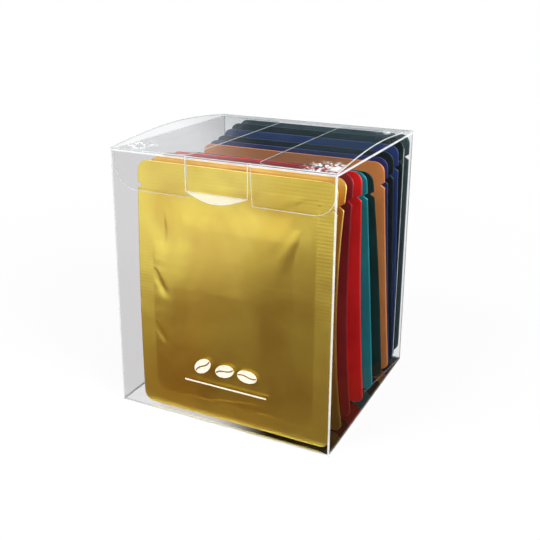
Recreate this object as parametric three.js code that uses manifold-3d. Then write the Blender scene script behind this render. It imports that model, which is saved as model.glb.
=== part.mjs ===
// Clear folding box of PET film, filled with a row of foil drip-coffee sachets.
// Millimetres, +Z up, front wall towards -Y, origin under the middle of the whole object.
import * as THREE from "three";
import { mergeVertices } from "three/addons/utils/BufferGeometryUtils.js";
import Module from "manifold-3d";

const wasm = await Module();
wasm.setup();

// Film and clearances
const FILM = 0.4; // thickness of the PET sheet
const GAP = 0.3; // clearance between pieces that touch
const CREASE_RADIUS = 0.9; // outside radius of the upright folds

// Sachets
const SACHET_WIDTH = 101;
const SACHET_HEIGHT = 125;
const SACHET_CORNER = 5;
const SIDE_SEAL = 8; // width of the heat seal along both sides
const TOP_SEAL = 8;
const BOTTOM_SEAL = 9;
const SEAL_THICKNESS = 0.5;
const NOTCH_DROP = 12; // tear notch below the top edge
const NOTCH_DEPTH = 2.2;
const NOTCH_HALF_HEIGHT = 1.5;
const LEAN_LOSS = 0.65; // height lost by leaning and bending, over the square of the slope
const SACHET_WANDER = 0.3; // how far a sachet strays sideways in the row

// Room round the sachets
const SIDE_SLACK = 11; // free width left of the row
const HEAD_ROOM = 5.1; // from the tallest sachet to the lid
const STACK_DEPTH = 107.2; // depth that the row fills, front wall to back wall
const FILL_SETTLE = 0.66; // below 1 the coffee has settled towards the foot of a sachet
const TUCK_EASE = 15; // below the tuck flap, the first sachet eases back over this height

// Flaps
const DUST_WIDTH = 39.5;
const DUST_SETBACK = 4; // room in front of a dust flap for the tuck flap
const DUST_CORNER = 6;
const GLUE_WIDTH = 13;
const GLUE_TAPER = 6;
const TUCK_DEPTH = 20;
const TUCK_CORNER = 10.5;
const TUCK_LEAN = 2; // how far the tip of the tuck flap leans inwards
const TONGUE_WIDTH = 31.5;
const TONGUE_CREASE = 16; // below the lid
const TONGUE_FLARE = 1.2;
const SLIT_HEIGHT = 0.6;
const CUT = 0.5; // width of a cut between tongue and wing
const LID_BOW = 3.8; // rise of the lid's side edges at mid depth
const LID_CROWN = 1.0; // rise of the lid's middle

// Bottom
const FRONT_FLOOR_SHARE = 0.58; // depth of the front floor flap over the box's depth
const BACK_FLOOR_SHARE = 0.55;
const LOCK_WIDTH = 46; // tongue of the front floor flap
const LOCK_DEPTH = 12;
const FLOOR_LAYERS = 3;

// Worked out from the sizes above
const SACHET_BOTTOM = FLOOR_LAYERS * FILM + GAP;
const BOX_WIDTH = SACHET_WIDTH + SIDE_SLACK + 3 * FILM + 2 * GAP;
const BOX_DEPTH = STACK_DEPTH + 2 * FILM;
const LID_UNDERSIDE = SACHET_BOTTOM + SACHET_HEIGHT + HEAD_ROOM;
const BOX_HEIGHT = LID_UNDERSIDE + FILM;
const WALL_TOP = LID_UNDERSIDE - GAP;
const PROUD = GAP + FILM + TONGUE_FLARE; // how far the tongue stands in front of the wall
const FRONT = (PROUD - BOX_DEPTH) / 2; // outer face of the front wall
const BACK = FRONT + BOX_DEPTH;
const RIGHT = BOX_WIDTH / 2;
const STACK_FRONT = FRONT + FILM;
const SACHET_RIGHT = RIGHT - 2 * FILM - GAP - SACHET_WANDER;
const TUCK_TIP = BOX_HEIGHT - TUCK_DEPTH;
const TUCK_ROOM = GAP + TUCK_LEAN + FILM; // depth behind the front wall that the tuck flap takes

// Sachets from front to back. top, middle and foot say how deep in the row the side edges lie there,
// and belly where the filled middle ends, all as shares of the row's depth. lift is how far a sachet that
// is wedged in the tight end of the row stands off the floor.
const SACHETS = [
  { name: "gold_sachet_1", color: 0xc9a24a, top: 0.05, middle: 0.027, foot: 0.03, belly: 0.088 },
  { name: "gold_sachet_2", color: 0xb98f3c, top: 0.145, middle: 0.065, foot: 0.18, belly: 0.205 },
  { name: "maroon_sachet", color: 0x640f14, top: 0.23, middle: 0.2, foot: 0.3, belly: 0.325 },
  { name: "red_sachet", color: 0xb91414, top: 0.31, middle: 0.35, foot: 0.45, belly: 0.445 },
  { name: "teal_sachet", color: 0x146973, top: 0.375, middle: 0.485, foot: 0.59, belly: 0.56 },
  { name: "dark_green_sachet", color: 0x0a2828, top: 0.455, middle: 0.615, foot: 0.73, belly: 0.67 },
  { name: "orange_sachet", color: 0xbe6428, top: 0.6, middle: 0.705, foot: 0.825, belly: 0.755 },
  { name: "navy_sachet", color: 0x282d64, top: 0.665, middle: 0.75, foot: 0.86, belly: 0.81 },
  { name: "black_sachet_1", color: 0x14191e, top: 0.735, middle: 0.81, foot: 0.89, belly: 0.86, lift: 0.5 },
  { name: "blue_sachet", color: 0x1e3c78, top: 0.81, middle: 0.865, foot: 0.92, belly: 0.905, lift: 2.0 },
  { name: "black_sachet_2", color: 0x141e1e, top: 0.895, middle: 0.925, foot: 0.95, belly: 0.952, lift: 3.2 },
  { name: "slate_sachet", color: 0x465a5f, top: 0.985, middle: 0.985, foot: 0.985, belly: 1, lift: 3.6 },
];

function filmMaterial() {
  return new THREE.MeshStandardMaterial({
    color: 0xe9eff0,
    roughness: 0.08,
    metalness: 0,
    transparent: true,
    opacity: 0.3,
  });
}

function foilMaterial(color) {
  return new THREE.MeshStandardMaterial({ color, roughness: 0.36, metalness: 0.75 });
}

function toSolid(geometry) {
  const bare = geometry.index ? geometry.clone() : geometry;
  bare.deleteAttribute("normal");
  bare.deleteAttribute("uv");
  const merged = mergeVertices(bare, 1e-5);
  const mesh = new wasm.Mesh({
    numProp: 3,
    vertProperties: new Float32Array(merged.attributes.position.array),
    triVerts: new Uint32Array(merged.index.array),
  });
  mesh.merge();
  return new wasm.Manifold(mesh);
}

function toGeometry(solid) {
  const mesh = solid.getMesh();
  const geometry = new THREE.BufferGeometry();
  geometry.setAttribute("position", new THREE.BufferAttribute(new Float32Array(mesh.vertProperties), 3));
  geometry.setIndex(new THREE.BufferAttribute(new Uint32Array(mesh.triVerts), 1));
  geometry.computeVertexNormals();
  return geometry;
}

function join(solids) {
  return solids.reduce((whole, solid) => whole.add(solid));
}

// A flat plate: its outline lies in X and Y and it rises from z by its thickness.
function plateXY(outline, z, thickness = FILM) {
  const geometry = new THREE.ExtrudeGeometry(outline, {
    depth: thickness,
    bevelEnabled: false,
    curveSegments: 5,
  });
  geometry.translate(0, 0, z);
  return toSolid(geometry);
}

// An upright plate across the box: its outline lies in X and Z, its front face at y.
function plateXZ(outline, y, thickness = FILM) {
  const geometry = new THREE.ExtrudeGeometry(outline, {
    depth: thickness,
    bevelEnabled: false,
    curveSegments: 6,
  });
  geometry.rotateX(Math.PI / 2);
  geometry.translate(0, y + thickness, 0);
  return geometry;
}

function block(x0, x1, y0, y1, z0, z1) {
  const geometry = new THREE.BoxGeometry(x1 - x0, y1 - y0, z1 - z0);
  geometry.translate((x0 + x1) / 2, (y0 + y1) / 2, (z0 + z1) / 2);
  return toSolid(geometry);
}

function polygon(points) {
  return new THREE.Shape(points.map(([x, y]) => new THREE.Vector2(x, y)));
}

// Mirrors an outline in X, in the order that keeps it anticlockwise.
function mirrored(points) {
  return points.map(([x, y]) => [-x, y]).reverse();
}

function roundedRectangle(x0, x1, y0, y1, radius) {
  const shape = new THREE.Shape();
  shape.moveTo(x0 + radius, y0);
  shape.lineTo(x1 - radius, y0);
  shape.absarc(x1 - radius, y0 + radius, radius, -Math.PI / 2, 0, false);
  shape.lineTo(x1, y1 - radius);
  shape.absarc(x1 - radius, y1 - radius, radius, 0, Math.PI / 2, false);
  shape.lineTo(x0 + radius, y1);
  shape.absarc(x0 + radius, y1 - radius, radius, Math.PI / 2, Math.PI, false);
  shape.lineTo(x0, y0 + radius);
  shape.absarc(x0 + radius, y0 + radius, radius, Math.PI, 1.5 * Math.PI, false);
  return shape;
}

function walls() {
  const outline = roundedRectangle(-RIGHT, RIGHT, FRONT, BACK, CREASE_RADIUS);
  const inside = roundedRectangle(
    FILM - RIGHT,
    RIGHT - FILM,
    FRONT + FILM,
    BACK - FILM,
    CREASE_RADIUS - FILM,
  );
  outline.holes.push(inside);
  const slitMiddle = BOX_HEIGHT - TONGUE_CREASE;
  const slit = block(
    -TONGUE_WIDTH / 2,
    TONGUE_WIDTH / 2,
    FRONT - 1,
    FRONT + FILM + 1,
    slitMiddle - SLIT_HEIGHT / 2,
    slitMiddle + SLIT_HEIGHT / 2,
  );
  return plateXY(outline, 0, WALL_TOP).subtract(slit);
}

// The glue flap is welded inside the right wall, against the back wall.
function glueFlap() {
  const innerBack = BACK - FILM / 2;
  const free = BACK - FILM - GLUE_WIDTH;
  const foot = SACHET_BOTTOM;
  const head = WALL_TOP - FILM;
  const shape = polygon([
    [innerBack, foot],
    [innerBack, head],
    [free, head - GLUE_TAPER],
    [free, foot + GLUE_TAPER],
  ]);
  const geometry = new THREE.ExtrudeGeometry(shape, { depth: 1.5 * FILM, bevelEnabled: false });
  geometry.rotateX(Math.PI / 2);
  geometry.rotateZ(Math.PI / 2);
  geometry.translate(RIGHT - 2 * FILM, 0, 0);
  return toSolid(geometry);
}

// A dust flap folds in under the lid from a side wall's top edge. side is 1 right, -1 left.
function dustFlap(side) {
  const hinge = RIGHT - FILM / 2;
  const free = RIGHT - DUST_WIDTH;
  const near = FRONT + DUST_SETBACK;
  const far = BACK - DUST_SETBACK;
  const shape = new THREE.Shape();
  shape.moveTo(hinge, near - 1);
  shape.lineTo(hinge, far + 1);
  shape.lineTo(free + DUST_CORNER, far);
  shape.absarc(free + DUST_CORNER, far - DUST_CORNER, DUST_CORNER, Math.PI / 2, Math.PI, false);
  shape.lineTo(free, near + DUST_CORNER);
  shape.absarc(free + DUST_CORNER, near + DUST_CORNER, DUST_CORNER, Math.PI, 1.5 * Math.PI, false);
  const points = shape.getPoints(4).map((p) => [p.x, p.y]);
  return plateXY(polygon(side > 0 ? points : mirrored(points)), WALL_TOP - FILM);
}

// The floor is folded from four flaps, one over another: front outside, sides between, back inside.
function floorFlaps() {
  const inset = FILM / 2;
  const frontEdge = FRONT + BOX_DEPTH * FRONT_FLOOR_SHARE;
  const backEdge = BACK - BOX_DEPTH * BACK_FLOOR_SHARE;
  const reach = RIGHT - inset;
  const front = polygon([
    [-reach, FRONT + inset],
    [reach, FRONT + inset],
    [reach - LOCK_DEPTH / 2, frontEdge],
    [LOCK_WIDTH / 2, frontEdge],
    [LOCK_WIDTH / 2 - LOCK_DEPTH / 2, frontEdge + LOCK_DEPTH],
    [LOCK_DEPTH / 2 - LOCK_WIDTH / 2, frontEdge + LOCK_DEPTH],
    [-LOCK_WIDTH / 2, frontEdge],
    [LOCK_DEPTH / 2 - reach, frontEdge],
  ]);
  const sidePoints = [
    [reach, FRONT + DUST_SETBACK],
    [reach, BACK - inset],
    [LOCK_WIDTH / 2 + LOCK_DEPTH, BACK - DUST_SETBACK],
    [LOCK_WIDTH / 2, frontEdge],
    [LOCK_WIDTH / 2 + LOCK_DEPTH, FRONT + DUST_SETBACK + LOCK_DEPTH],
  ];
  const back = polygon([
    [reach, BACK - inset],
    [-reach, BACK - inset],
    [LOCK_DEPTH / 2 - reach, backEdge],
    [reach - LOCK_DEPTH / 2, backEdge],
  ]);
  return [
    plateXY(front, 0),
    plateXY(polygon(sidePoints), FILM),
    plateXY(polygon(mirrored(sidePoints)), FILM),
    plateXY(back, 2 * FILM),
  ];
}

function carton() {
  return join([walls(), glueFlap(), dustFlap(1), dustFlap(-1), ...floorFlaps()]);
}

// Height of the lid above its flat front and back edges.
function lidRise(x, y) {
  const along = Math.sin((Math.PI * (y - FRONT)) / BOX_DEPTH);
  const across = Math.pow(Math.abs(x) / RIGHT, 2.5);
  return Math.max(along, 0) * (LID_CROWN + (LID_BOW - LID_CROWN) * across);
}

// Closed sheet over a grid: low and high give its two faces at each column and row.
function gridSolid(columns, rows, low, high) {
  const positions = [];
  const index = [];
  for (const face of [low, high]) {
    for (let r = 0; r < rows; r += 1) {
      for (let c = 0; c < columns; c += 1) {
        positions.push(...face(c, r));
      }
    }
  }
  const at = (face, c, r) => face * columns * rows + r * columns + c;
  const quad = (a, b, c, d) => index.push(a, b, c, a, c, d);
  for (let r = 0; r < rows - 1; r += 1) {
    for (let c = 0; c < columns - 1; c += 1) {
      quad(at(0, c, r), at(0, c, r + 1), at(0, c + 1, r + 1), at(0, c + 1, r));
      quad(at(1, c, r), at(1, c + 1, r), at(1, c + 1, r + 1), at(1, c, r + 1));
    }
  }
  for (let c = 0; c < columns - 1; c += 1) {
    quad(at(0, c, 0), at(0, c + 1, 0), at(1, c + 1, 0), at(1, c, 0));
    quad(at(1, c, rows - 1), at(1, c + 1, rows - 1), at(0, c + 1, rows - 1), at(0, c, rows - 1));
  }
  for (let r = 0; r < rows - 1; r += 1) {
    quad(at(1, 0, r), at(1, 0, r + 1), at(0, 0, r + 1), at(0, 0, r));
    quad(at(0, columns - 1, r), at(0, columns - 1, r + 1), at(1, columns - 1, r + 1), at(1, columns - 1, r));
  }
  const geometry = new THREE.BufferGeometry();
  geometry.setAttribute("position", new THREE.BufferAttribute(new Float32Array(positions), 3));
  geometry.setIndex(index);
  return geometry;
}

function lidPanel() {
  const columns = 13;
  const rows = 17;
  const face = (thickness) => (c, r) => {
    const x = -RIGHT + (2 * RIGHT * c) / (columns - 1);
    const y = FRONT + (BOX_DEPTH * r) / (rows - 1);
    return [x, y, LID_UNDERSIDE + lidRise(x, y) + thickness];
  };
  return toSolid(gridSolid(columns, rows, face(0), face(FILM)));
}

// One wing of the tuck flap, behind the front wall. It leans inwards towards its tip.
function tuckWing(side) {
  const inner = TONGUE_WIDTH / 2 + CUT;
  const outer = RIGHT - 2 * FILM - GAP;
  const tip = TUCK_TIP;
  const shape = new THREE.Shape();
  shape.moveTo(inner, LID_UNDERSIDE + FILM / 2);
  shape.lineTo(inner, tip);
  shape.lineTo(outer - TUCK_CORNER, tip);
  shape.absarc(outer - TUCK_CORNER, tip + TUCK_CORNER, TUCK_CORNER, -Math.PI / 2, 0, false);
  shape.lineTo(outer, LID_UNDERSIDE + FILM / 2);
  const points = shape.getPoints(6).map((p) => [p.x, p.y]);
  const outline = polygon(side > 0 ? points : mirrored(points));
  const geometry = plateXZ(outline, FRONT + FILM + GAP);
  const place = geometry.attributes.position;
  for (let i = 0; i < place.count; i += 1) {
    const drop = (BOX_HEIGHT - place.getZ(i)) / TUCK_DEPTH;
    place.setY(i, place.getY(i) + TUCK_LEAN * drop);
  }
  return toSolid(geometry);
}

// The tongue hangs in front of the wall, creased at the slit, with a curved tip that stands off.
function lidTongue() {
  const half = TONGUE_WIDTH / 2;
  const crease = BOX_HEIGHT - TONGUE_CREASE;
  const tip = TUCK_TIP;
  const steps = 8;
  const shape = new THREE.Shape();
  shape.moveTo(half, BOX_HEIGHT);
  shape.lineTo(-half, BOX_HEIGHT);
  shape.lineTo(-half, crease);
  for (let i = 1; i < steps; i += 1) {
    const along = i / steps;
    const sag = Math.sin(Math.PI * along);
    shape.lineTo(half * (2 * along - 1), crease + (tip - crease) * sag);
  }
  shape.lineTo(half, crease);
  const geometry = plateXZ(shape, FRONT - GAP - FILM);
  const place = geometry.attributes.position;
  for (let i = 0; i < place.count; i += 1) {
    const below = Math.max(crease - place.getZ(i), 0) / (crease - tip);
    place.setY(i, place.getY(i) - TONGUE_FLARE * below);
  }
  const bridge = block(-half, half, FRONT - GAP - FILM, FRONT + CREASE_RADIUS, LID_UNDERSIDE, BOX_HEIGHT);
  return toSolid(geometry).add(bridge);
}

function lid() {
  return join([lidPanel(), tuckWing(1), tuckWing(-1), lidTongue()]);
}

// Depth of a side edge at a height between foot and top, as a share of the row.
function edgeShare(sachet, rise) {
  const { top, middle, foot } = sachet;
  return foot * (1 - rise) * (1 - 2 * rise) + middle * 4 * rise * (1 - rise) + top * rise * (2 * rise - 1);
}

// How much of a sachet's room its filling takes: 1 in the middle, 0 on the seals.
function fillShare(across, rise) {
  const side = 1 - SIDE_SEAL / (SACHET_WIDTH / 2);
  const foot = BOTTOM_SEAL / SACHET_HEIGHT;
  const head = 1 - TOP_SEAL / SACHET_HEIGHT;
  const u = Math.min(Math.abs(across) / side, 1);
  const v = Math.min(Math.max((rise - foot) / (head - foot), 0), 1);
  const upright = Math.min(1, Math.pow(Math.sin(Math.PI * Math.pow(v, FILL_SETTLE)), 0.75) * 1.1);
  return Math.pow(1 - u * u * u, 0.8) * upright;
}

// Where the room of sachet number n ends, at a place across and up the row.
function roomEnd(n, across, rise) {
  if (n < 0) {
    return 0;
  }
  if (n === SACHETS.length - 1) {
    return 1;
  }
  const edge = (edgeShare(SACHETS[n], rise) + edgeShare(SACHETS[n + 1], rise)) / 2;
  const lean = edge - (edgeShare(SACHETS[n], 0.5) + edgeShare(SACHETS[n + 1], 0.5)) / 2;
  const belly = SACHETS[n].belly + lean;
  const w = Math.pow(Math.min(Math.abs(across), 1), 2);
  return belly * (1 - w) + edge * w;
}

function rowOffsets() {
  const r = SACHET_CORNER;
  const notch = SACHET_HEIGHT - NOTCH_DROP;
  const corner = [0, 0.134 * r, 0.5 * r, r];
  const filled = [0, 0.07, 0.17, 0.32, 0.5, 0.68, 0.83, 1].map(
    (t) => BOTTOM_SEAL + t * (notch - 2 * NOTCH_HALF_HEIGHT - BOTTOM_SEAL),
  );
  const cut = [notch - NOTCH_HALF_HEIGHT, notch, notch + NOTCH_HALF_HEIGHT];
  return [...corner, ...filled, ...cut, ...corner.map((d) => SACHET_HEIGHT - d).reverse()];
}

function halfWidth(height) {
  const fromEnd = Math.min(height, SACHET_HEIGHT - height);
  const half = SACHET_WIDTH / 2;
  const notch = Math.abs(height - (SACHET_HEIGHT - NOTCH_DROP)) < NOTCH_HALF_HEIGHT / 2;
  if (notch) {
    return half - NOTCH_DEPTH;
  }
  if (fromEnd >= SACHET_CORNER) {
    return half;
  }
  const cut = SACHET_CORNER - fromEnd;
  return half - SACHET_CORNER + Math.sqrt(SACHET_CORNER * SACHET_CORNER - cut * cut);
}

// A filled sachet: two foils sealed together all round, standing on the floor of the box.
function sachet(n) {
  const spec = SACHETS[n];
  const stations = [-1, -0.84, -0.66, -0.4, -0.14, 0.14, 0.4, 0.66, 0.84, 1];
  const heights = rowOffsets();
  const middle = SACHET_RIGHT - SACHET_WIDTH / 2 + SACHET_WANDER * Math.sin(2.4 * n);
  const lean = (spec.foot - spec.top) * STACK_DEPTH;
  const shrink = 1 - LEAN_LOSS * Math.pow(lean / SACHET_HEIGHT, 2);
  const face = (side) => (c, r) => {
    const across = stations[c];
    const rise = heights[r] / SACHET_HEIGHT;
    const x = middle + across * halfWidth(heights[r]);
    const z = SACHET_BOTTOM + (spec.lift ?? 0) + heights[r] * shrink;
    const reach = (x - middle) / (SACHET_WIDTH / 2);
    const margin = (SEAL_THICKNESS + GAP) / 2;
    const ease = Math.min(Math.max((z - TUCK_TIP) / TUCK_EASE + 1, 0), 1);
    const frontRoom = n === 0 ? GAP + TUCK_ROOM * ease : 0;
    const backRoom = n === SACHETS.length - 1 ? GAP : 0;
    const near = roomEnd(n - 1, reach, rise) * STACK_DEPTH + margin + frontRoom;
    const far = roomEnd(n, reach, rise) * STACK_DEPTH - margin - backRoom;
    const seal = Math.min(Math.max(edgeShare(spec, rise) * STACK_DEPTH, near), far);
    const fill = fillShare(across, rise);
    const room = side < 0 ? near - seal : far - seal;
    const y = STACK_FRONT + seal + room * fill + (side * SEAL_THICKNESS) / 2;
    return [x, y, z];
  };
  const geometry = gridSolid(stations.length, heights.length, face(1), face(-1));
  geometry.computeVertexNormals();
  return geometry;
}

function namedMesh(name, geometry, material) {
  const mesh = new THREE.Mesh(geometry, material);
  mesh.name = name;
  return mesh;
}

const box = new THREE.Group();
const film = filmMaterial();
box.add(namedMesh("carton_body", toGeometry(carton()), film));
box.add(namedMesh("lid", toGeometry(lid()), film));
SACHETS.forEach((spec, n) => {
  box.add(namedMesh(spec.name, sachet(n), foilMaterial(spec.color)));
});

export default box;
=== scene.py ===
import math

import bpy
from mathutils import Matrix, Vector, noise


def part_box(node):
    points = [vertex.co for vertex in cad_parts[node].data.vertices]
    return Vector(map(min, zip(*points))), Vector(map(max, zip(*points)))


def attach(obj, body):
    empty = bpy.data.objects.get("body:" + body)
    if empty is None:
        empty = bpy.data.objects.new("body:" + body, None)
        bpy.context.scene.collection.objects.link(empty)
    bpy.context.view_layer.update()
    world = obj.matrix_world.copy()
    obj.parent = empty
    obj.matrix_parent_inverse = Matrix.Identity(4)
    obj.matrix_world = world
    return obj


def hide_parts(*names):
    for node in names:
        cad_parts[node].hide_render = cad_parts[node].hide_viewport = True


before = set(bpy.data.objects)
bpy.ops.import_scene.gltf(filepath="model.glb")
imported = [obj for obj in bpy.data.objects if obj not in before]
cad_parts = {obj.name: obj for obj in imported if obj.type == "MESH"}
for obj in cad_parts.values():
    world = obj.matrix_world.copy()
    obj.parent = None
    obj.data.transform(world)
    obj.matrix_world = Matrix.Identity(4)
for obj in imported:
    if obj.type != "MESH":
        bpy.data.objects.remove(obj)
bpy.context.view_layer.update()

MM = 0.001

# Sizes read from the frame, in metres
WALL_LOW, WALL_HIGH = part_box("carton_body")
LID_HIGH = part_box("lid")[1]
RIGHT = WALL_HIGH.x
FRONT = WALL_LOW.y
BACK = WALL_HIGH.y
WALL_TOP = WALL_HIGH.z

# Sizes of the film, as in the solids
FILM = 0.4 * MM
GAP = 0.3 * MM
LID_UNDERSIDE = WALL_TOP + GAP
LID_FLAT = LID_UNDERSIDE + FILM
LID_CROWN = 1.0 * MM
LID_BOW = LID_HIGH.z - LID_FLAT
TUCK_DEPTH = 20 * MM
TUCK_CORNER = 10.5 * MM
TUCK_LEAN = 2 * MM
TONGUE_HALF = 15.75 * MM
TONGUE_CREASE = 16 * MM
TONGUE_FLARE = 1.2 * MM
DUST_WIDTH = 39.5 * MM
DUST_SETBACK = 4 * MM
DUST_CORNER = 6 * MM
GLUE_WIDTH = 13 * MM
EDGE_RADIUS = 0.2 * MM

# Sizes of the sachets, as in the solids
STACK_FRONT = FRONT + FILM
STACK_DEPTH = BACK - FRONT - 2 * FILM
SACHET_WIDTH = 101 * MM
SACHET_HEIGHT = 125 * MM
SACHET_CORNER = 5 * MM
SIDE_SEAL = 8 * MM
TOP_SEAL = 8 * MM
BOTTOM_SEAL = 9 * MM
SEAL_THICKNESS = 0.5 * MM
NOTCH_DROP = 12 * MM
NOTCH_DEPTH = 2.2 * MM
NOTCH_HALF_HEIGHT = 1.5 * MM
LEAN_LOSS = 0.65
SACHET_WANDER = 0.3 * MM
SACHET_BOTTOM = 3 * FILM + GAP
SACHET_RIGHT = RIGHT - 2 * FILM - GAP - SACHET_WANDER
TUCK_TIP = LID_FLAT - TUCK_DEPTH
FILL_SETTLE = 0.66
TUCK_EASE = 15 * MM
TUCK_ROOM = GAP + TUCK_LEAN + FILM

# The film: how much of PET's mirror shows, and what each of its faces lets through
WALL_SHINE = 0.45
LID_SHINE = 0.6
FLOOR_SHINE = 3.0  # more on the floor, where several layers lie together
FILM_IOR = 1.5
FILM_ROUGHNESS = 0.07
CLEAR = (0.972, 0.973, 0.975, 1)
WING_CLEAR = (0.982, 0.983, 0.984, 1)
LEFT_WALL_SHADE = (0.845, 0.84, 0.843, 1)  # painted shade: the left wall made greyer than the rest of the same film
TIP_GLARE = 0.26  # painted highlight: milky share of the tongue's tip, standing in for its lens-shaped reflection
CRUMPLE_GLINT = 0.9  # painted glints: the same at the lid's crumpled corners, standing in for their reflections

# The stage: cards that only reflections see, and the shade under the box
BROWN = (0.13, 0.052, 0.012)
DEEP_BROWN = (0.07, 0.026, 0.006)
NEAR_BLACK = (0.02, 0.022, 0.025)
SLATE = (0.06, 0.09, 0.11)
SHADE_COLOR = (0.012, 0.018, 0.016, 1)
SHADE_LEFT, SHADE_FULL = -10 * MM, 25 * MM  # where it begins and where it is deepest

# The foil
GOLD = (1.0, 0.71, 0.12)
# painted shade: the second gold sachet is the same gold foil, darkened where it stands in the first
# one's shade
SHADED_GOLD = (0.72, 0.42, 0.09)
COLORED_METAL, GOLD_METAL = 0.4, 0.92  # how metallic the two kinds look
FOIL_TONE = 0.12  # how far the foil's colour wanders

# From front to back: node, slot, colour, then how deep in the row the side edges lie at the top, middle
# and foot, and where the filled middle ends, as shares of the row's depth.
SACHETS = [
    ("gold_sachet_1", "gold_foil", GOLD, 0.05, 0.027, 0.03, 0.088),
    # painted shade: same gold foil as the first sachet, given a darker colour
    ("gold_sachet_2", "gold_foil", SHADED_GOLD, 0.145, 0.065, 0.18, 0.205),
    ("maroon_sachet", "maroon_foil", (0.24, 0.008, 0.012), 0.23, 0.2, 0.3, 0.325),
    ("red_sachet", "red_foil", (0.82, 0.012, 0.012), 0.31, 0.35, 0.45, 0.445),
    ("teal_sachet", "teal_foil", (0.012, 0.30, 0.36), 0.375, 0.485, 0.59, 0.56),
    ("dark_green_sachet", "dark_green_foil", (0.008, 0.045, 0.04), 0.455, 0.615, 0.73, 0.67),
    ("orange_sachet", "orange_foil", (0.90, 0.32, 0.09), 0.6, 0.705, 0.825, 0.755),
    ("navy_sachet", "navy_foil", (0.035, 0.045, 0.20), 0.665, 0.75, 0.86, 0.81),
    ("black_sachet_1", "black_foil", (0.012, 0.022, 0.024), 0.735, 0.81, 0.89, 0.86),
    ("blue_sachet", "blue_foil", (0.03, 0.06, 0.22), 0.81, 0.865, 0.92, 0.905),
    ("black_sachet_2", "black_foil", (0.014, 0.026, 0.026), 0.895, 0.925, 0.95, 0.952),
    ("slate_sachet", "slate_foil", (0.06, 0.10, 0.11), 0.985, 0.985, 0.985, 1.0),
]

# How far the sachets wedged in the tight end of the row stand off the floor
LIFTS = {
    "black_sachet_1": 0.5 * MM,
    "blue_sachet": 2.0 * MM,
    "black_sachet_2": 3.2 * MM,
    "slate_sachet": 3.6 * MM,
}


def clamp(value, low=0.0, high=1.0):
    return min(max(value, low), high)


def smooth(value):
    value = clamp(value)
    return value * value * (3 - 2 * value)


def new_object(name, verts, faces, material, smooth_shade=True):
    mesh = bpy.data.meshes.new(name)
    mesh.from_pydata(verts, [], faces)
    mesh.validate()
    mesh.update()
    if smooth_shade:
        mesh.shade_smooth()
    mesh.materials.append(material)
    obj = bpy.data.objects.new(name, mesh)
    bpy.context.scene.collection.objects.link(obj)
    return obj


def grid_shell(columns, rows, low, high):
    """Vertices and faces of a closed sheet whose two faces are low(c, r) and high(c, r)."""
    verts = [low(c, r) for r in range(rows) for c in range(columns)]
    verts += [high(c, r) for r in range(rows) for c in range(columns)]
    top = columns * rows

    def at(c, r):
        return r * columns + c

    faces = []
    for r in range(rows - 1):
        for c in range(columns - 1):
            a, b, d, e = at(c, r), at(c + 1, r), at(c + 1, r + 1), at(c, r + 1)
            faces.append((a, e, d, b))
            faces.append((top + a, top + b, top + d, top + e))
    for c in range(columns - 1):
        a, b = at(c, 0), at(c + 1, 0)
        faces.append((a, b, top + b, top + a))
        a, b = at(c, rows - 1), at(c + 1, rows - 1)
        faces.append((top + a, top + b, b, a))
    for r in range(rows - 1):
        a, b = at(0, r), at(0, r + 1)
        faces.append((top + a, top + b, b, a))
        a, b = at(columns - 1, r), at(columns - 1, r + 1)
        faces.append((a, b, top + b, top + a))
    return verts, faces


class Nodes:
    """A short way to write a node material."""

    def __init__(self, name):
        self.material = bpy.data.materials.new(name)
        self.material.use_nodes = True
        self.tree = self.material.node_tree
        self.tree.nodes.clear()
        self.output = self.add("ShaderNodeOutputMaterial")

    def add(self, kind, **settings):
        node = self.tree.nodes.new(kind)
        for key, value in settings.items():
            setattr(node, key, value)
        return node

    def put(self, socket, value):
        if isinstance(value, bpy.types.NodeSocket):
            self.tree.links.new(value, socket)
        else:
            socket.default_value = value

    def math(self, operation, a, b=0.0, c=None, clamped=False):
        node = self.add("ShaderNodeMath", operation=operation, use_clamp=clamped)
        self.put(node.inputs[0], a)
        self.put(node.inputs[1], b)
        if c is not None:
            self.put(node.inputs[2], c)
        return node.outputs[0]

    def ramp(self, value, low, high):
        node = self.add("ShaderNodeMapRange", interpolation_type="SMOOTHSTEP")
        self.put(node.inputs["Value"], value)
        node.inputs["From Min"].default_value = low
        node.inputs["From Max"].default_value = high
        return node.outputs["Result"]

    def noise(self, vector, scale, detail=3.0, distortion=0.0):
        node = self.add("ShaderNodeTexNoise")
        self.put(node.inputs["Vector"], vector)
        node.inputs["Scale"].default_value = scale
        node.inputs["Detail"].default_value = detail
        node.inputs["Distortion"].default_value = distortion
        return node.outputs["Fac"]

    def mix_color(self, fac, a, b):
        node = self.add("ShaderNodeMix", data_type="RGBA")
        self.put(node.inputs["Factor"], fac)
        self.put(node.inputs[6], a)
        self.put(node.inputs[7], b)
        return node.outputs[2]

    def mix_shader(self, fac, a, b):
        node = self.add("ShaderNodeMixShader")
        self.put(node.inputs[0], fac)
        self.put(node.inputs[1], a)
        self.put(node.inputs[2], b)
        return node.outputs[0]

    def bump(self, height, strength, distance, normal=None):
        node = self.add("ShaderNodeBump")
        self.put(node.inputs["Height"], height)
        node.inputs["Strength"].default_value = strength
        node.inputs["Distance"].default_value = distance
        if normal is not None:
            self.put(node.inputs["Normal"], normal)
        return node.outputs["Normal"]

    def object_space(self):
        return self.add("ShaderNodeTexCoord").outputs["Object"]


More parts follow.
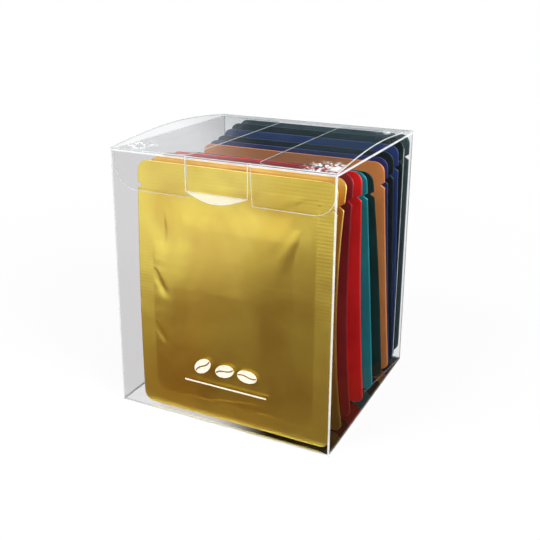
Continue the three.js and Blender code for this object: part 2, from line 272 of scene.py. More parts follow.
def film_material(name, shine_share, creases, wear_and_glints=(), painted_highlight_below=None, through=CLEAR):
    """Clear PET sheet. creases: the box whose edges are folded, as low and high corners, or None.
    wear_and_glints: places of painted glints, each with its reach. painted_highlight_below: painted
    highlight below this height.
    through: what one face lets through."""
    n = Nodes(name)
    place = n.object_space()
    wave = n.bump(n.noise(place, 28.0, 2.0), 0.25, 0.6 * MM)
    fresnel = n.add("ShaderNodeFresnel")
    fresnel.inputs["IOR"].default_value = FILM_IOR
    n.put(fresnel.inputs["Normal"], wave)
    facing_out = n.math("SUBTRACT", 1.0, n.add("ShaderNodeNewGeometry").outputs["Backfacing"])
    split = n.add("ShaderNodeSeparateXYZ")
    n.put(split.inputs[0], place)
    floor = n.ramp(split.outputs[2], 2.0 * MM, 1.0 * MM)
    share = n.math("MULTIPLY_ADD", floor, FLOOR_SHINE, shine_share) if creases else shine_share
    shine = n.math("MULTIPLY", n.math("MULTIPLY", fresnel.outputs[0], share), facing_out, clamped=True)
    clear = n.add("ShaderNodeBsdfTransparent")
    clear.inputs["Color"].default_value = through
    if creases:
        # painted shade: the left wall lets less through than the rest of the same clear film
        left_wall_shade = n.ramp(split.outputs[0], 1 * MM - RIGHT, 0.5 * MM - RIGHT)
        n.put(clear.inputs["Color"], n.mix_color(left_wall_shade, through, LEFT_WALL_SHADE))
    gloss = n.add("ShaderNodeBsdfGlossy")
    gloss.inputs["Color"].default_value = (0.92, 0.95, 0.97, 1)
    gloss.inputs["Roughness"].default_value = FILM_ROUGHNESS
    n.put(gloss.inputs["Normal"], wave)
    surface = n.mix_shader(shine, clear.outputs[0], gloss.outputs[0])
    haze_and_highlights = 0.0
    if creases:
        low, high = creases
        near = []
        for axis in range(3):
            middle = (low[axis] + high[axis]) / 2
            half = (high[axis] - low[axis]) / 2
            away = n.math("ABSOLUTE", n.math("SUBTRACT", split.outputs[axis], middle))
            near.append(n.ramp(away, half - 1.0 * MM, half - 0.35 * MM))
        pairs = [n.math("MULTIPLY", near[a], near[b]) for a, b in ((0, 1), (0, 2), (1, 2))]
        fold = n.math("MAXIMUM", n.math("MAXIMUM", pairs[0], pairs[1]), pairs[2])
        patchy = n.math("MULTIPLY_ADD", n.noise(place, 140.0, 2.0), 0.5, 0.3)
        haze_and_highlights = n.math("MULTIPLY", fold, patchy)
    # painted glints: milky streaks at the lid's crumpled corners stand in for their reflections
    for spot, reach in wear_and_glints:
        offset = n.add("ShaderNodeVectorMath", operation="DISTANCE")
        n.put(offset.inputs[0], place)
        offset.inputs[1].default_value = spot
        close = n.ramp(offset.outputs["Value"], reach, reach * 0.35)
        streaks = n.ramp(n.noise(place, 330.0, 3.0, 1.2), 0.52, 0.62)
        painted_glints = n.math("MULTIPLY", close, streaks)
        haze_and_highlights = n.math("MAXIMUM", haze_and_highlights, n.math("MULTIPLY", painted_glints, CRUMPLE_GLINT))
    # painted highlight: the tongue's tip below its crease is whitened
    if painted_highlight_below:
        below = n.ramp(split.outputs[2], painted_highlight_below + 0.2 * MM, painted_highlight_below - 0.6 * MM)
        haze_and_highlights = n.math("MAXIMUM", haze_and_highlights, n.math("MULTIPLY", below, TIP_GLARE))
    milky = n.add("ShaderNodeBsdfDiffuse")
    milky.inputs["Color"].default_value = (0.92, 0.94, 0.95, 1)
    surface = n.mix_shader(haze_and_highlights, surface, milky.outputs[0])
    n.put(n.output.inputs["Surface"], surface)
    return n.material


def edge_material(name, color):
    """Cut or folded edge of the film, which gathers light."""
    n = Nodes(name)
    place = n.object_space()
    clear = n.add("ShaderNodeBsdfTransparent")
    clear.inputs["Color"].default_value = (0.9, 0.93, 0.94, 1)
    bright = n.add("ShaderNodeBsdfPrincipled")
    bright.inputs["Base Color"].default_value = (*color, 1)
    bright.inputs["Roughness"].default_value = 0.25
    patchy = n.math("MULTIPLY_ADD", n.noise(place, 220.0, 2.0), 0.7, 0.2, clamped=True)
    n.put(n.output.inputs["Surface"], n.mix_shader(patchy, clear.outputs[0], bright.outputs[0]))
    return n.material


def foil_material(name, color, metal):
    """Metallised pouch laminate: satin metal with fine crinkle, paler and ribbed on the seals."""
    n = Nodes(name)
    place = n.object_space()
    seal = n.add("ShaderNodeAttribute", attribute_name="seal").outputs["Fac"]
    cloud = n.noise(place, 32.0, 4.0, 0.6)
    deep = tuple(c * (1 - FOIL_TONE * 1.6) for c in color) + (1,)
    pale = tuple(min(c * (1 + FOIL_TONE) + 0.01, 1) for c in color) + (1,)
    base = n.mix_color(n.ramp(cloud, 0.3, 0.7), deep, pale)
    lifted = n.mix_color(n.math("MULTIPLY", seal, 0.35), base, pale)
    shader = n.add("ShaderNodeBsdfPrincipled")
    n.put(shader.inputs["Base Color"], lifted)
    shader.inputs["Metallic"].default_value = metal
    rough = n.math("MULTIPLY_ADD", n.noise(place, 60.0, 1.5), 0.04, 0.28)
    n.put(shader.inputs["Roughness"], n.math("MULTIPLY_ADD", seal, 0.06, rough))
    crinkle = n.bump(n.noise(place, 55.0, 1.0, 0.3), 0.08, 0.4 * MM)
    ribs = n.add("ShaderNodeTexWave", bands_direction="Z")
    n.put(ribs.inputs["Vector"], place)
    ribs.inputs["Scale"].default_value = 190.0
    pressed = n.math("MULTIPLY", ribs.outputs["Fac"], seal)
    n.put(shader.inputs["Normal"], n.bump(pressed, 0.12, 0.12 * MM, crinkle))
    n.put(n.output.inputs["Surface"], shader.outputs[0])
    return n.material


def print_material():
    """Opaque cream screen print."""
    n = Nodes("cream_print")
    place = n.object_space()
    shader = n.add("ShaderNodeBsdfPrincipled")
    wear_and_glints = n.ramp(n.noise(place, 500.0, 3.0), 0.25, 0.6)
    n.put(shader.inputs["Base Color"], n.mix_color(wear_and_glints, (0.66, 0.6, 0.46, 1), (0.86, 0.8, 0.66, 1)))
    shader.inputs["Roughness"].default_value = 0.55
    n.put(n.output.inputs["Surface"], shader.outputs[0])
    return n.material


def edge_share(spec, rise):
    top, middle, foot = spec[3:6]
    low = foot * (1 - rise) * (1 - 2 * rise)
    high = top * rise * (2 * rise - 1)
    return low + middle * 4 * rise * (1 - rise) + high


def fill_share(across, rise):
    side = 1 - SIDE_SEAL / (SACHET_WIDTH / 2)
    foot = BOTTOM_SEAL / SACHET_HEIGHT
    head = 1 - TOP_SEAL / SACHET_HEIGHT
    u = min(abs(across) / side, 1)
    v = clamp((rise - foot) / (head - foot))
    upright = min(1, math.pow(max(math.sin(math.pi * math.pow(v, FILL_SETTLE)), 0), 0.75) * 1.1)
    return math.pow(1 - u * u * u, 0.8) * upright


def room_end(number, across, rise):
    if number < 0:
        return 0
    if number == len(SACHETS) - 1:
        return 1
    pair = SACHETS[number], SACHETS[number + 1]
    edge = sum(edge_share(spec, rise) for spec in pair) / 2
    lean = edge - sum(edge_share(spec, 0.5) for spec in pair) / 2
    belly = SACHETS[number][6] + lean
    w = min(abs(across), 1) ** 2
    return belly * (1 - w) + edge * w


def half_width(height):
    half = SACHET_WIDTH / 2
    from_notch = abs(height - (SACHET_HEIGHT - NOTCH_DROP)) / NOTCH_HALF_HEIGHT
    if from_notch < 1:
        return half - NOTCH_DEPTH * (1 - from_notch)
    from_end = min(height, SACHET_HEIGHT - height)
    if from_end >= SACHET_CORNER:
        return half
    cut = SACHET_CORNER - from_end
    return half - SACHET_CORNER + math.sqrt(max(SACHET_CORNER**2 - cut**2, 0))


# Creases in the first sachet's front, in mm from its lower left corner: start, end, depth and spread
FRONT_CREASES = (
    (7, 118, 15, 80, 1.5, 3.0),
    (8, 73, 17, 58, 0.6, 1.8),
    (8, 45, 16, 34, 0.5, 1.6),
    (40, 9, 74, 14, 0.7, 1.6),
)


def crease(x, z, start_x, start_z, end_x, end_z, strength, spread):
    """Depth in mm of one straight crease that fades towards its end."""
    run_x, run_z = end_x - start_x, end_z - start_z
    length = math.hypot(run_x, run_z)
    along = ((x - start_x) * run_x + (z - start_z) * run_z) / length**2
    if not 0 < along < 1:
        return 0
    off = ((x - start_x) * run_z - (z - start_z) * run_x) / length
    width = spread * (0.6 + 0.8 * along)
    return strength * math.exp(-((off / width) ** 2)) * smooth((1 - along) * 2) * smooth(along * 8)


# Where the first sachet's filled front ends and falls away to its right seal, in mm: the foot of the
# line, its rise, and how deep and how wide the fall is
SHOULDER_FOOT_X, SHOULDER_FOOT_Z = 76, 91
SHOULDER_START_X = SHOULDER_FOOT_X - 3
SHOULDER_RISE = 1.6
SHOULDER_DEPTH, SHOULDER_SPREAD = 1.4, 15


def shoulder(x, z):
    """Depth in mm of the first sachet's fall towards its right seal."""
    head = SHOULDER_FOOT_Z + SHOULDER_RISE * (x - SHOULDER_FOOT_X)
    below = smooth((head - z) / SHOULDER_SPREAD)
    return SHOULDER_DEPTH * smooth((x - SHOULDER_START_X) / SHOULDER_SPREAD) * below


# Puckers along the seals, in mm: depth, pitch and how far in they reach
PUCKER_DEPTH, PUCKER_PITCH, PUCKER_REACH = 0.8, 5.5, 6.0

# Creases that run in from each corner of the filled middle: turn, reach in mm and depth in mm
CORNER_CREASES = ((0.95, 46, 1.7), (1.25, 36, 1.0), (0.5, 30, 1.0))

CALM = 0.25  # how much of the usual creasing the first sachet has
SWELL_DEPTH = 0.32  # of the broad waves, in mm


def wrinkle(number, side, x, z):
    """Depth in mm of the dents in a sachet's face, at x and z in mm from its lower left corner."""
    wide, tall = SACHET_WIDTH / MM, SACHET_HEIGHT / MM
    left, right = SIDE_SEAL / MM, wide - SIDE_SEAL / MM
    foot, head = BOTTOM_SEAL / MM, tall - TOP_SEAL / MM
    seed = 13.7 * number + 5.1 * side
    depth = 0.0
    inset = min(x - left, right - x, z - foot, head - z)
    if inset < 0:
        return 0.12 * noise.noise(Vector((x / 9, z / 9, seed)))
    along = z if min(x - left, right - x) < min(z - foot, head - z) else x
    pucker = abs(noise.noise(Vector((along / PUCKER_PITCH, seed, 0.3))))
    calm = CALM if number == 0 else 1
    depth += PUCKER_DEPTH * calm * pucker * math.exp(-inset / PUCKER_REACH) * smooth(inset / 1.5)
    if number == 0:
        depth += sum(crease(x, z, *one) for one in FRONT_CREASES) + shoulder(x, z)
    corners = ((left, head, 1, -1), (right, head, -1, -1), (left, foot, 1, 1), (right, foot, -1, 1))
    for cx, cz, dx, dz in corners:
        for turn, reach, strength in CORNER_CREASES:
            turn += 0.12 * noise.noise(Vector((cx, cz + turn * 9, seed)))
            ux, uz = dx * math.cos(turn), dz * math.sin(turn)
            px, pz = x - cx, z - cz
            t = px * ux + pz * uz
            if 0 < t < reach:
                off = px * uz - pz * ux + 0.8 * noise.noise(Vector((t / 7, turn, seed)))
                spread = 1.3 + 0.07 * t
                fade = smooth((reach - t) / reach) * smooth(t / 4)
                depth += calm * strength * math.exp(-((off / spread) ** 2)) * fade
    broad = noise.noise(Vector((x / 34, z / 30, seed)))
    broad += 0.5 * noise.noise(Vector((x / 13, z / 17, seed + 3)))
    depth += SWELL_DEPTH * (0.4 + 0.6 * calm) * (broad + 0.6) * smooth(inset / 12)
    depth += 0.02 * noise.noise(Vector((x / 4.5, z / 4.5, seed)))
    return depth


ROUNDING_ROWS = (0.03, 0.13, 0.3, 0.5, 0.75)  # extra rows in the round corners, over their radius
EDGE_CROWDING = 0.82  # draws the columns together towards the side seals


def sachet(number, columns, rows):
    """One filled pouch: two foils sealed together all round."""
    spec = SACHETS[number]
    last = len(SACHETS) - 1
    notch = SACHET_HEIGHT - NOTCH_DROP
    heights = [SACHET_HEIGHT * r / (rows - 1) for r in range(rows)]
    heights += [notch - NOTCH_HALF_HEIGHT, notch, notch + NOTCH_HALF_HEIGHT]
    for share in ROUNDING_ROWS:
        heights += [share * SACHET_CORNER, SACHET_HEIGHT - share * SACHET_CORNER]
    heights = sorted(set(heights))
    turns = [math.pi / 2 * (2 * c / (columns - 1) - 1) * EDGE_CROWDING for c in range(columns)]
    stations = [math.sin(turn) for turn in turns]
    stations = [s / stations[-1] for s in stations]
    middle = SACHET_RIGHT - SACHET_WIDTH / 2 + SACHET_WANDER * math.sin(2.4 * number)
    lean = (spec[5] - spec[3]) * STACK_DEPTH
    shrink = 1 - LEAN_LOSS * (lean / SACHET_HEIGHT) ** 2
    margin = (SEAL_THICKNESS + GAP) / 2

    def face(side):
        def point(c, r):
            rise = heights[r] / SACHET_HEIGHT
            x = middle + stations[c] * half_width(heights[r])
            z = SACHET_BOTTOM + LIFTS.get(spec[0], 0) + heights[r] * shrink
            reach = (x - middle) / (SACHET_WIDTH / 2)
            ease = clamp((z - TUCK_TIP) / TUCK_EASE + 1)
            front_room = GAP + TUCK_ROOM * smooth(ease) if number == 0 else 0
            back_room = GAP if number == last else 0
            near = room_end(number - 1, reach, rise) * STACK_DEPTH + margin + front_room
            far = room_end(number, reach, rise) * STACK_DEPTH - margin - back_room
            seal = clamp(edge_share(spec, rise) * STACK_DEPTH, near, far)
            room = near - seal if side < 0 else far - seal
            fill = fill_share(reach, rise)
            local_x = (x - middle + SACHET_WIDTH / 2) / MM
            dent = wrinkle(number, side, local_x, heights[r] / MM) * MM
            depth = abs(room) * fill
            dent = min(dent, 0.6 * depth + 0.05 * MM) if dent > 0 else dent
            y = STACK_FRONT + seal + side * (depth + SEAL_THICKNESS / 2 - dent)
            return (x, y, z)

        return point

    verts, faces = grid_shell(columns, len(heights), face(1), face(-1))
    name, slot_name, color = spec[:3]
    metal = GOLD_METAL if slot_name == "gold_foil" else COLORED_METAL
    material = foil_material("foil_" + name, color, metal)
    obj = new_object("foil_" + name, verts, faces, material)
    seal = obj.data.attributes.new("seal", "FLOAT", "POINT")
    half = len(verts) // 2
    for i in range(len(verts)):
        c, r = (i % half) % columns, (i % half) // columns
        inside = fill_share(stations[c], heights[r] / SACHET_HEIGHT)
        seal.data[i].value = 1 - smooth(inside * 9)
    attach(obj, "carton")
    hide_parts(name)
    return obj


FRONT_MESH = (150, 190)  # columns and rows of the first sachet, which is seen whole
OTHER_MESH = (64, 90)


def make_sachets():
    for number in range(len(SACHETS)):
        sachet(number, *(OTHER_MESH if number else FRONT_MESH))


def lid_rise(x, y):
    along = max(math.sin(math.pi * (y - FRONT) / (BACK - FRONT)), 0)
    across = (abs(x) / RIGHT) ** 2.5
    return along * (LID_CROWN + (LID_BOW - LID_CROWN) * across)


# Places where handling has crumpled the lid: x and y as shares of its half width and depth, and reach
CRUMPLES = ((0.86, 0.06, 9 * MM), (0.93, 0.84, 11 * MM), (-0.8, 0.08, 8 * MM))


def crumple(x, y):
    """Small dents near the lid's worn corners."""
    total = 0.0
    for sx, sy, reach in CRUMPLES:
        off = math.hypot(x - sx * RIGHT, y - (FRONT + sy * (BACK - FRONT))) / reach
        if off < 1:
            ripple = noise.noise(Vector((x * 420, y * 420, 1.7)))
            total += ripple * 0.5 * MM * smooth((1 - off) * 1.6)
    return total


def lid_panel(material):
    columns, rows = 150, 140

    def face(lift):
        def point(c, r):
            x = -RIGHT + 2 * RIGHT * c / (columns - 1)
            y = FRONT + (BACK - FRONT) * r / (rows - 1)
            edge = smooth((y - FRONT) / (3 * MM)) * smooth((BACK - y) / (3 * MM))
            return (x, y, LID_UNDERSIDE + lid_rise(x, y) + crumple(x, y) * edge + lift)

        return point

    verts, faces = grid_shell(columns, rows, face(0), face(FILM))
    return new_object("lid_panel", verts, faces, material)


def wing_outline(side):
    """Free edge of one wing of the tuck flap, from the tongue's cut round to the lid, in x and drop."""
    inner = TONGUE_HALF + 0.5 * MM
    outer = RIGHT - 2 * FILM - GAP
    points = [(inner, 0.0), (inner, TUCK_DEPTH)]
    steps = 14
    for i in range(steps + 1):
        turn = math.pi / 2 * i / steps
        x = outer - TUCK_CORNER + TUCK_CORNER * math.sin(turn)
        points.append((x, TUCK_DEPTH - TUCK_CORNER + TUCK_CORNER * math.cos(turn)))
    points.append((outer, 0.0))
    return [(side * x, drop) for x, drop in points]


def wing_place(x, drop):
    lean = TUCK_LEAN * drop / TUCK_DEPTH
    return Vector((x, FRONT + FILM + GAP + lean, LID_FLAT - drop))


def sheet_from_outline(name, outline, place, thickness, material):
    """A closed flat piece: outline points in a plane, put in space by place, thickened along +Y."""
    front = [place(*p) for p in outline]
    back = [p + Vector((0, thickness, 0)) for p in front]
    count = len(outline)
    area = sum(
        outline[i][0] * outline[(i + 1) % count][1] - outline[(i + 1) % count][0] * outline[i][1]
        for i in range(count)
    )
    ring = list(range(count))
    if area > 0:
        ring.reverse()
    faces = [tuple(ring), tuple(count + i for i in reversed(ring))]
    for i in range(count):
        a, b = ring[i], ring[(i + 1) % count]
        faces.append((b, a, count + a, count + b))
    return new_object(name, [tuple(p) for p in front + back], faces, material, False)


def tongue_outline():
    steps = 20
    tip = []
    for i in range(steps + 1):
        along = i / steps
        drop = TONGUE_CREASE + (TUCK_DEPTH - TONGUE_CREASE) * math.sin(math.pi * along)
        tip.append((TONGUE_HALF * (2 * along - 1), drop))
    return [(-TONGUE_HALF, 0.0)] + tip + [(TONGUE_HALF, 0.0)]


def tongue_place(x, drop):
    below = max(drop - TONGUE_CREASE, 0) / (TUCK_DEPTH - TONGUE_CREASE)
    return Vector((x, FRONT - GAP - FILM - TONGUE_FLARE * below, LID_FLAT - drop))


def tongue_sheet(material):
    """The tongue: a flat part down to its crease, and a lens-shaped tip that stands off."""
    columns, rows = 33, 12

    def face(lift):
        def point(c, r):
            across = 2 * c / (columns - 1) - 1
            full = TONGUE_CREASE + (TUCK_DEPTH - TONGUE_CREASE) * math.cos(math.pi / 2 * across)
            if r < 6:
                drop = TONGUE_CREASE * r / 5
            else:
                drop = TONGUE_CREASE + (full - TONGUE_CREASE) * (r - 5) / (rows - 6)
                drop = max(drop, TONGUE_CREASE + (r - 5) * 0.002 * MM)
            return tuple(tongue_place(across * TONGUE_HALF, drop) + Vector((0, lift, 0)))

        return point

    verts, faces = grid_shell(columns, rows, face(0), face(FILM))
    return new_object("lid_tongue", verts, faces, material, False)


def edge_bead(name, points, material, body, radius=EDGE_RADIUS, closed=False):
    """A thin tube along an edge of the film."""
    curve = bpy.data.curves.new(name, "CURVE")
    curve.dimensions = "3D"
    curve.bevel_depth = radius
    curve.bevel_resolution = 2
    curve.use_fill_caps = True
    spline = curve.splines.new("POLY")
    spline.points.add(len(points) - 1)
    for point, place in zip(spline.points, points):
        point.co = (*place, 1)
    spline.use_cyclic_u = closed
    curve.materials.append(material)
    obj = bpy.data.objects.new(name, curve)
    bpy.context.scene.collection.objects.link(obj)
    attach(obj, body)
    return obj


def make_lid(film, wing_film, tongue_film, edge):
    panel = lid_panel(film)
    wings = [
        sheet_from_outline(f"tuck_wing_{label}", wing_outline(side), wing_place, FILM, wing_film)
        for side, label in ((-1, "left"), (1, "right"))
    ]
    tongue = tongue_sheet(tongue_film)
    for obj in (panel, *wings, tongue):
        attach(obj, "lid")
        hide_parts("lid")
    for side, label in ((-1, "left"), (1, "right")):
        outline = [wing_place(x, d) + Vector((0, FILM / 2, 0)) for x, d in wing_outline(side)]
        edge_bead(f"wing_edge_{label}", outline, edge, "lid")
        steps = 40
        run = [FRONT + (BACK - FRONT) * i / steps for i in range(steps + 1)]
        x = side * (RIGHT - EDGE_RADIUS)
        side_edge = [(x, y, LID_UNDERSIDE + FILM / 2 + lid_rise(x, y)) for y in run]
        edge_bead(f"lid_side_edge_{label}", side_edge, edge, "lid", 0.3 * MM)
    outline = [tongue_place(x, d) + Vector((0, FILM / 2, 0)) for x, d in tongue_outline()]
    edge_bead("tongue_edge", outline, edge, "lid")
    crease = [tongue_place(x * TONGUE_HALF, TONGUE_CREASE) for x in (-1, 1)]
    edge_bead("tongue_crease", crease, edge, "lid", 0.15 * MM)
    for y, label in ((FRONT + EDGE_RADIUS, "front"), (BACK - EDGE_RADIUS, "back")):
        fold = [(x, y, LID_FLAT - FILM / 2) for x in (-RIGHT + FILM, RIGHT - FILM)]
        edge_bead(f"lid_fold_{label}", fold, edge, "lid", 0.28 * MM)


def dust_edge(side):
    """Free edge of a dust flap, seen from above, from the wall's front end round to its back end."""
    hinge = RIGHT - FILM / 2
    free = RIGHT - DUST_WIDTH
    near, far = FRONT + DUST_SETBACK, BACK - DUST_SETBACK
    points = [(hinge, near - 1 * MM)]
    steps = 8
    cx = free + DUST_CORNER
    for start, cy in ((1.5, near + DUST_CORNER), (1.0, far - DUST_CORNER)):
        for i in range(steps + 1):
            turn = math.pi * (start - 0.5 * i / steps)
            points.append((cx + DUST_CORNER * math.cos(turn), cy + DUST_CORNER * math.sin(turn)))
    points.append((hinge, far + 1 * MM))
    return [(side * x, y, WALL_TOP - FILM / 2) for x, y in points]


def make_carton(film, edge, dim_edge):
    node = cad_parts["carton_body"]
    for slot in node.material_slots:
        slot.material = film
    for side, label in ((-1, "left"), (1, "right")):
        edge_bead(f"dust_edge_{label}", dust_edge(side), edge, "carton")
        x = side * (RIGHT - 0.3 * MM)
        for y, end in ((FRONT + 0.3 * MM, "front"), (BACK - 0.3 * MM, "back")):
            fold = [(x, y, 0.3 * MM), (x, y, WALL_TOP - 0.2 * MM)]
            edge_bead(f"upright_fold_{end}_{label}", fold, edge, "carton", 0.24 * MM)
    seam_y = BACK - FILM - GLUE_WIDTH
    seam_x = RIGHT - 1.5 * FILM
    seam = [(seam_x, seam_y, SACHET_BOTTOM + 6 * MM), (seam_x, seam_y, WALL_TOP - FILM - 6 * MM)]
    edge_bead("glue_flap_edge", seam, edge, "carton", 0.2 * MM)
    inset = 0.3 * MM
    rim = [
        (-RIGHT + inset, FRONT + inset, inset),
        (RIGHT - inset, FRONT + inset, inset),
        (RIGHT - inset, BACK - inset, inset),
        (-RIGHT + inset, BACK - inset, inset),
    ]
    edge_bead("floor_fold", rim, dim_edge, "carton", inset, True)


# The print, in mm: each bean's middle, half length and turn, and the rule's ends
BEANS = ((-9, 30, 5.2, 0.7), (3, 30, 5.2, 0.35), (15, 30, 5.2, 0.0))
BEAN_WIDTH = 0.62  # over its length
BEAN_SLOT_WAVE, BEAN_SLOT_HALF = 0.10, 0.07
RULE = ((-19, 20.6), (25, 20.6), (25, 21.4), (-19, 21.4))
PRINT_THICKNESS = 0.06 * MM
PRINT_GAP = 0.02 * MM


def bean(cx, cz, length, turn):
    """Outline halves of a coffee bean with its slot, as two closed lobes."""
    lobes = []
    steps = 18
    for half in (1, -1):
        points = []
        for i in range(steps + 1):
            t = math.pi * i / steps
            points.append((length * math.cos(t), half * BEAN_WIDTH * length * math.sin(t)))
        for i in range(steps - 1, 0, -1):
            t = 2 * i / steps - 1
            slot = BEAN_SLOT_WAVE * length * math.sin(math.pi * t) + half * BEAN_SLOT_HALF * length
            points.append((-length * t, slot))
        turned = Matrix.Rotation(turn, 2)
        spun = [turned @ Vector(p) for p in points]
        lobes.append([(cx + p.x, cz + p.y) for p in spun])
    return lobes


def print_place(x, z):
    return Vector((x, FRONT - PRINT_THICKNESS - PRINT_GAP, z))


def make_print():
    """Cream print low on the front wall: three beans over a rule."""
    cream = print_material()
    shapes = []
    for cx, cz, length, turn in BEANS:
        shapes += bean(cx * MM, cz * MM, length * MM, turn)
    shapes.append([(x * MM, z * MM) for x, z in RULE])
    for number, outline in enumerate(shapes):
        obj = sheet_from_outline(f"print_{number + 1}", outline, print_place, PRINT_THICKNESS, cream)
        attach(obj, "carton")


# The camera, in degrees and metres
AZIMUTH, ELEVATION, ROLL = 26.22, 16.77, 0.33
CAMERA_TARGET = Vector((0.3, 0.15, 92.1)) * MM
CAMERA_DISTANCE = 398.6 * MM
SENSOR, LENS = 36, 52.2
SHIFT_Y = -0.1


def make_camera():
    azimuth, elevation, roll = math.radians(AZIMUTH), math.radians(ELEVATION), math.radians(ROLL)
    back = Vector((
        math.sin(azimuth) * math.cos(elevation),
        -math.cos(azimuth) * math.cos(elevation),
        math.sin(elevation),
    ))
    data = bpy.data.cameras.new("camera")
    data.sensor_width = SENSOR
    data.lens = LENS
    data.shift_y = SHIFT_Y
    camera = bpy.data.objects.new("camera", data)
    camera.rotation_mode = "QUATERNION"
    camera.location = CAMERA_TARGET + back * CAMERA_DISTANCE
    aim = (-back).to_track_quat("-Z", "Y")
    camera.rotation_quaternion = aim @ Matrix.Rotation(roll, 3, "Z").to_quaternion()
    bpy.context.scene.collection.objects.link(camera)
    bpy.context.scene.camera = camera


# The lamps: name, place, size in metres and power in watts. Both look at LAMP_AIM.
LAMPS = (
    ("key", (-0.55, -0.75, 0.95), (0.7, 0.5), 10.0),
    ("fill", (0.9, -0.35, 0.55), (0.5, 0.6), 12.0),
)
LAMP_AIM = (0, 0, 0.06)
SKY_STRENGTH = 0.45  # of the world as a light; it looks white


def make_lamp(name, place, size, power):
    data = bpy.data.lights.new(name, "AREA")
    data.shape = "RECTANGLE"
    data.size, data.size_y = size
    data.energy = power
    lamp = bpy.data.objects.new(name, data)
    lamp.location = place
    lamp.rotation_mode = "QUATERNION"
    lamp.rotation_quaternion = (Vector(LAMP_AIM) - Vector(place)).to_track_quat("-Z", "Y")
    bpy.context.scene.collection.objects.link(lamp)


def make_world():
    world = bpy.data.worlds.new("studio")
    world.use_nodes = True
    tree = world.node_tree
    tree.nodes.clear()
    out = tree.nodes.new("ShaderNodeOutputWorld")
    seen = tree.nodes.new("ShaderNodeBackground")
    seen.inputs["Color"].default_value = (1, 1, 1, 1)
    seen.inputs["Strength"].default_value = 1.0
    light = tree.nodes.new("ShaderNodeBackground")
    light.inputs["Color"].default_value = (0.97, 0.98, 1, 1)
    light.inputs["Strength"].default_value = SKY_STRENGTH
    path = tree.nodes.new("ShaderNodeLightPath")
    most = path.outputs["Is Camera Ray"]
    for name in ("Is Glossy Ray", "Is Transmission Ray"):
        pick = tree.nodes.new("ShaderNodeMath")
        pick.operation = "MAXIMUM"
        tree.links.new(most, pick.inputs[0])
        tree.links.new(path.outputs[name], pick.inputs[1])
        most = pick.outputs[0]
    mix = tree.nodes.new("ShaderNodeMixShader")
    tree.links.new(most, mix.inputs[0])
    tree.links.new(light.outputs[0], mix.inputs[1])
    tree.links.new(seen.outputs[0], mix.inputs[2])
    tree.links.new(mix.outputs[0], out.inputs["Surface"])
    bpy.context.scene.world = world


def make_floor():
    n = Nodes("floor")
    lit = n.add("ShaderNodeBsdfDiffuse")
    lit.inputs["Color"].default_value = (0.86, 0.86, 0.86, 1)
    white = n.add("ShaderNodeEmission")
    white.inputs["Color"].default_value = (1, 1, 1, 1)
    path = n.add("ShaderNodeLightPath")
    away = n.add("ShaderNodeVectorMath", operation="LENGTH")
    n.put(away.inputs[0], n.object_space())
    far = n.ramp(away.outputs["Value"], 0.12, 0.5)
    white_share = n.math("MULTIPLY_ADD", far, 0.1, 0.9)
    seen = n.math("MAXIMUM", path.outputs["Is Camera Ray"], path.outputs["Is Glossy Ray"])
    share = n.math("MULTIPLY", seen, white_share)
    n.put(n.output.inputs["Surface"], n.mix_shader(share, lit.outputs[0], white.outputs[0]))
    half = 6.0
    verts = [(-half, -half, 0), (half, -half, 0), (half, half, 0), (-half, half, 0)]
    floor = new_object("floor", verts, [(0, 1, 2, 3)], n.material, False)
    floor.location.z = -0.02 * MM


def make_shade():
    """The shade the row of sachets throws on the table under the box, deepest to the right."""
    n = Nodes("table_shade")
    dark = n.add("ShaderNodeBsdfDiffuse")
    dark.inputs["Color"].default_value = SHADE_COLOR
    clear = n.add("ShaderNodeBsdfTransparent")
    split = n.add("ShaderNodeSeparateXYZ")
    n.put(split.inputs[0], n.object_space())
    share = n.ramp(split.outputs[0], SHADE_LEFT, SHADE_FULL)
    n.put(n.output.inputs["Surface"], n.mix_shader(share, clear.outputs[0], dark.outputs[0]))
    inset = 0.15 * MM
    low_x, high_x = SHADE_LEFT, RIGHT - inset
    low_y, high_y = FRONT + inset, BACK - inset
    verts = [(low_x, low_y, 0), (high_x, low_y, 0), (high_x, high_y, 0), (low_x, high_y, 0)]
    shade = new_object("table_shade", verts, [(0, 1, 2, 3)], n.material, False)
    shade.location.z = -0.006 * MM
    shade.visible_shadow = False


def make_flag(name, verts, faces, fade, color):
    """A dark card that only reflections see. fade: inner and outer distance from the object's axis."""
    n = Nodes(name)
    dark = n.add("ShaderNodeBsdfDiffuse")
    dark.inputs["Color"].default_value = (*color, 1)
    clear = n.add("ShaderNodeBsdfTransparent")
    away = n.add("ShaderNodeVectorMath", operation="LENGTH")
    n.put(away.inputs[0], n.object_space())
    share = n.ramp(away.outputs["Value"], *fade)
    n.put(n.output.inputs["Surface"], n.mix_shader(share, dark.outputs[0], clear.outputs[0]))
    flag = new_object(name, verts, faces, n.material, False)
    flag.visible_camera = False
    flag.visible_diffuse = False
    flag.visible_shadow = False
    flag.visible_transmission = False
    return flag


def floor_sector(start, end, inner, outer, steps):
    """Part of a ring on the floor between two bearings in degrees, from the front towards +X."""
    verts = []
    for i in range(steps + 1):
        turn = math.radians(start + (end - start) * i / steps)
        verts += [(k * math.sin(turn), -k * math.cos(turn), 0) for k in (inner, outer)]
    faces = [(2 * i, 2 * i + 1, 2 * i + 3, 2 * i + 2) for i in range(steps)]
    return verts, faces


def upright_card(half_width, half_height):
    verts = [
        (-half_width, 0, -half_height),
        (half_width, 0, -half_height),
        (half_width, 0, half_height),
        (-half_width, 0, half_height),
    ]
    return verts, [(0, 1, 2, 3)]


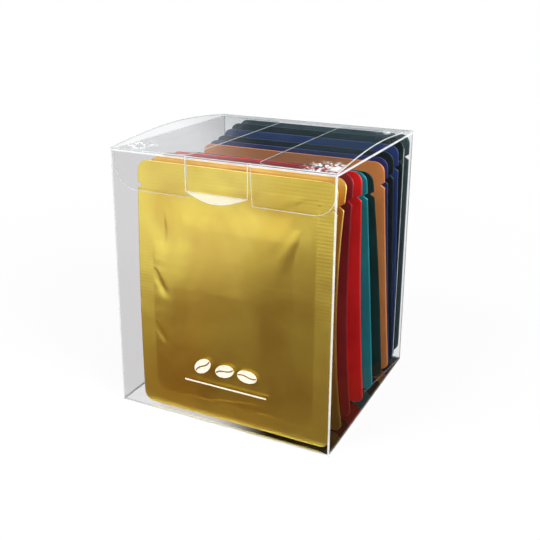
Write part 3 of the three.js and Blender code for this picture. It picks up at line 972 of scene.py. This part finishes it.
# Cards on the floor: name, bearings, inner and outer radius, steps, fade, colour and height. The heights
# lie between the floor and the box's underside.
FLOOR_FLAGS = (
    ("table_flag", (-180, 180), (0.001, 0.6), 48, (0.19, 0.35), BROWN, -0.016 * MM),
    ("near_right_flag", (-20, 60), (0.062, 1.0), 24, (0.45, 0.70), DEEP_BROWN, -0.012 * MM),
    ("near_left_flag", (-125, -58), (0.062, 1.0), 24, (0.45, 0.7), BROWN, -0.012 * MM),
    ("far_right_flag", (60, 172), (0.08, 1.0), 24, (0.7, 1.0), NEAR_BLACK, -0.012 * MM),
)

# Upright cards: name, half width and half height, fade, colour, place and turn in degrees
UPRIGHT_FLAGS = (
    ("front_flag", (0.17, 0.30), (0.14, 0.34), BROWN, (0.33, -0.62, 0.26), 28),
    ("rear_flag", (0.36, 0.36), (0.20, 0.34), SLATE, (-0.12, 0.62, 0.25), 0),
)


def make_flags():
    for name, bearings, radii, steps, fade, color, height in FLOOR_FLAGS:
        flag = make_flag(name, *floor_sector(*bearings, *radii, steps), fade, color)
        flag.location.z = height
    for name, half_size, fade, color, place, turn in UPRIGHT_FLAGS:
        flag = make_flag(name, *upright_card(*half_size), fade, color)
        flag.location = place
        flag.rotation_euler = (0, 0, math.radians(turn))


def make_studio():
    make_world()
    make_floor()
    make_shade()
    make_flags()
    for lamp in LAMPS:
        make_lamp(*lamp)
    bpy.context.scene.view_settings.view_transform = "Standard"
    bpy.context.scene.cycles.transparent_max_bounces = 40  # many sheets of clear film lie in a row


make_camera()
make_studio()
carton_film = film_material("carton_film", WALL_SHINE, ((-RIGHT, FRONT, 0), (RIGHT, BACK, WALL_TOP)))
# painted glints at the lid's crumpled corners
painted_glint_spots = [
    ((sx * RIGHT, FRONT + sy * (BACK - FRONT), LID_FLAT), reach * 1.3) for sx, sy, reach in CRUMPLES
]
lid_film = film_material("lid_film", LID_SHINE, None, painted_glint_spots)
wing_film = film_material("wing_film", LID_SHINE, None, (), None, WING_CLEAR)
tongue_film = film_material("tongue_film", LID_SHINE, None, (), LID_FLAT - TONGUE_CREASE, WING_CLEAR)
film_edge = edge_material("film_edge", (0.72, 0.75, 0.72))
# painted shade: the floor's fold is the same edge material as the other folds, made darker
shaded_floor_edge = edge_material("shaded_floor_edge", (0.32, 0.34, 0.33))
make_carton(carton_film, film_edge, shaded_floor_edge)
make_lid(lid_film, wing_film, tongue_film, film_edge)
make_sachets()
make_print()
